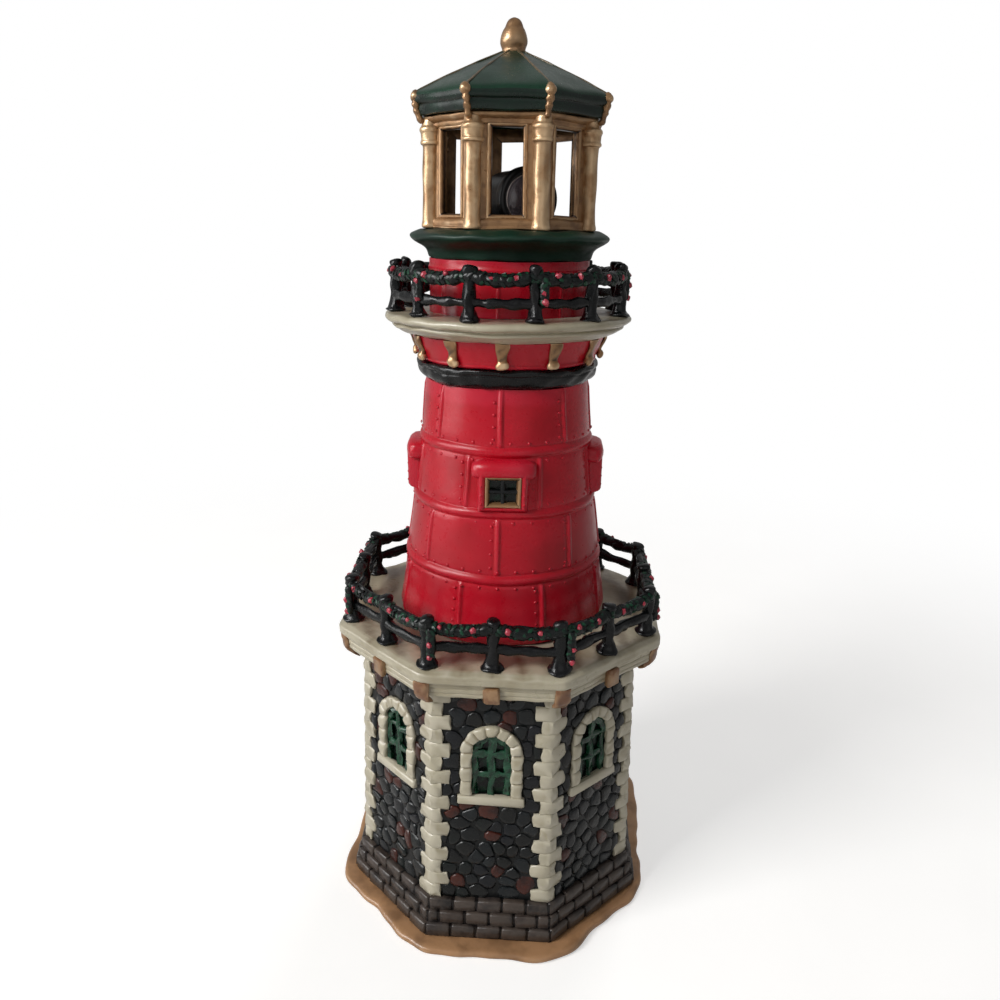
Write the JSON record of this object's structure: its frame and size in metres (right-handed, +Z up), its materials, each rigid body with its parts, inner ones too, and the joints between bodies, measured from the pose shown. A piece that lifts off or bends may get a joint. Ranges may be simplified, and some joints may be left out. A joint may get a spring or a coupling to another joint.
{
  "type": "lighted lighthouse figurine",
  "caption": "Glazed lighthouse ornament: octagonal stone house, round red tower, garlanded railings and an open gilt lantern with a turning beacon lamp under a green roof.",
  "frame": {"origin": "centre of the resting face under the ground slab", "axes": "+Z up the tower, -Y out of the front wall, +X to the right seen from the front"},
  "size_m": [0.1072, 0.1072, 0.268],
  "materials": {
    "sand_glaze": "glossy",
    "brick_glaze": "glossy",
    "stone_glaze": "glossy",
    "cream_glaze": "glossy",
    "bronze_glaze": "glossy",
    "red_glaze": "glossy",
    "black_glaze": "glossy",
    "green_glaze": "glossy",
    "window_green": "satin",
    "dark_pane": "glossy",
    "gold_paint": "satin",
    "railing_black": "satin",
    "garland_green": "matte",
    "berry_red": "glossy",
    "black_plastic": "satin",
    "white_plastic": "satin",
    "block_plastic": "matte",
    "red_wire": "satin",
    "silver_coat": "mirror",
    "clear_glass": "glossy",
    "warm_glass": "glossy",
    "steel": "satin",
    "brass": "satin"
  },
  "bodies": {
    "root": {"sand_base": "sand_glaze", "brick_plinth": "brick_glaze", "stone_walls": "stone_glaze", "corner_stones": "cream_glaze", "window_surrounds": "cream_glaze", "lower_deck": "cream_glaze", "gallery_deck": "cream_glaze", "cornice_blocks": "bronze_glaze", "tower_shell": "red_glaze", "gallery_flare": "red_glaze", "upper_drum": "red_glaze", "ring_moulding": "black_glaze", "lantern_collar": "green_glaze", "roof": "green_glaze", "glazing_bars": "window_green", "window_panes": "dark_pane", "square_panes": "dark_pane", "square_frames": "gold_paint", "gallery_brackets": "gold_paint", "lantern_cage": "gold_paint", "lantern_columns": "gold_paint", "roof_beads": "gold_paint", "finial": "gold_paint", "lower_railing": "railing_black", "upper_railing": "railing_black", "square_grilles": "railing_black", "lower_garland": "garland_green", "upper_garland": "garland_green", "berries": "berry_red", "lantern_floor": "black_plastic", "base_plate": "black_plastic", "rear_panel": "black_plastic", "power_jack": "black_plastic", "motor_plate": "white_plastic", "lamp_holder": "white_plastic", "battery_cells": "white_plastic", "brush_block": "block_plastic", "switch_case": "block_plastic", "wire_loom": "red_wire", "house_lamp": "warm_glass", "motor": "steel", "motor_screws": "steel", "base_screws": "steel", "battery_contacts": "steel", "upper_bush": "brass", "lower_bush": "brass"},
    "beacon": {"beacon_barrel": "black_plastic", "beacon_bezel": "black_plastic", "beacon_reflector": "silver_coat", "beacon_lens": "clear_glass", "beacon_bulb": "warm_glass", "beacon_spindle": "steel", "spindle_gear": "white_plastic", "slip_rings": "brass"},
    "rotor": {"motor_shaft": "steel", "motor_pinion": "white_plastic"},
    "slider": {"switch_slider": "white_plastic"},
    "door": {"battery_door": "black_plastic"}
  },
  "joints": [
    {"name": "beacon_spin", "type": "hinge", "parent": "root", "child": "beacon", "pos_m": [0, 0, 0.2], "axis": [0, 0, 1], "continuous": true},
    {"name": "motor_spin", "type": "hinge", "parent": "root", "child": "rotor", "pos_m": [0.011, 0, 0.2], "axis": [0, 0, 1], "continuous": true},
    {"name": "switch_slide", "type": "slide", "parent": "root", "child": "slider", "axis": [-1, 0, 0], "range_m": [0, 0.003]},
    {"name": "battery_door_lift", "type": "slide", "parent": "root", "child": "door", "axis": [0, 0, -1], "range_m": [0, 0.008]}
  ],
  "couplings": [
    {"joint": "motor_spin", "follows": "beacon_spin", "ratio": -2.6667}
  ]
}
